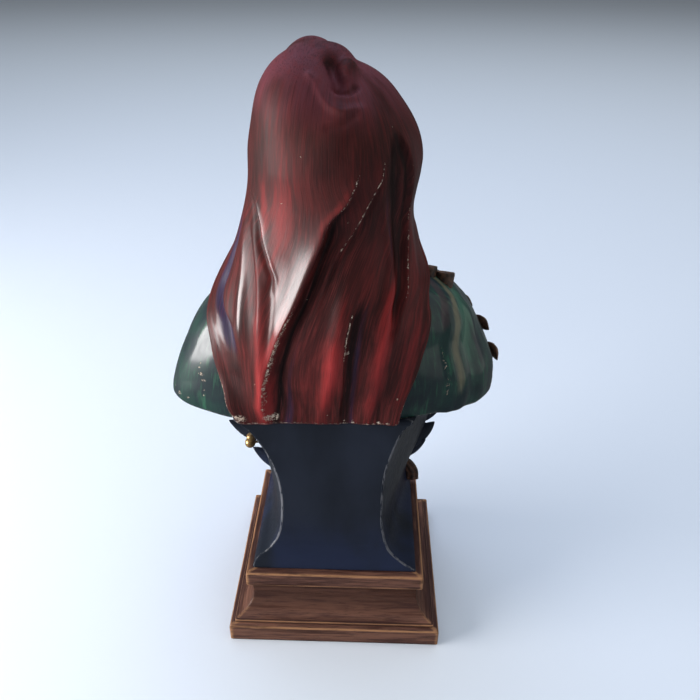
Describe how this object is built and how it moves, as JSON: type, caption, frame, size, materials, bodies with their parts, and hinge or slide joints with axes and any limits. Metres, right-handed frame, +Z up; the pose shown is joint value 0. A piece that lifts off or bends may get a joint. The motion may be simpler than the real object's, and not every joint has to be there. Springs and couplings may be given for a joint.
{
  "type": "allegorical bust",
  "caption": "Polychrome cast bust of a draped allegorical figure in a soft Phrygian cap and long veil, on a waisted socle and a stepped wooden plinth.",
  "frame": {"origin": "middle of the plinth's underside", "axes": "+Z up, the figure looks along -Y, and its left side is +X"},
  "size_m": [0.2723, 0.171, 0.4988],
  "materials": {
    "cap_and_veil_paint": "maroon paint on plaster, rubbed red on the ridges, brown-black glaze in the hollows, satin varnish",
    "tunic_paint": "dark green paint on plaster, satin varnish",
    "skin_paint": "flesh paint on plaster with a brown glaze, satin varnish",
    "hair_paint": "dark brown paint on plaster, satin varnish",
    "bronze_paint": "bronze paint on plaster, dull satin",
    "gilding": "gold paint, dulled",
    "socle_paint": "blue-black paint on plaster, worn pale on the arrises, satin varnish",
    "plinth_wood": "stained and waxed, dark in the recesses, golden on the worn edges"
  },
  "bodies": {
    "root": {"bust": "cap_and_veil_paint", "socle": "socle_paint", "plinth_moulding": "plinth_wood", "plinth_slab": "plinth_wood"}
  },
  "joints": []
}
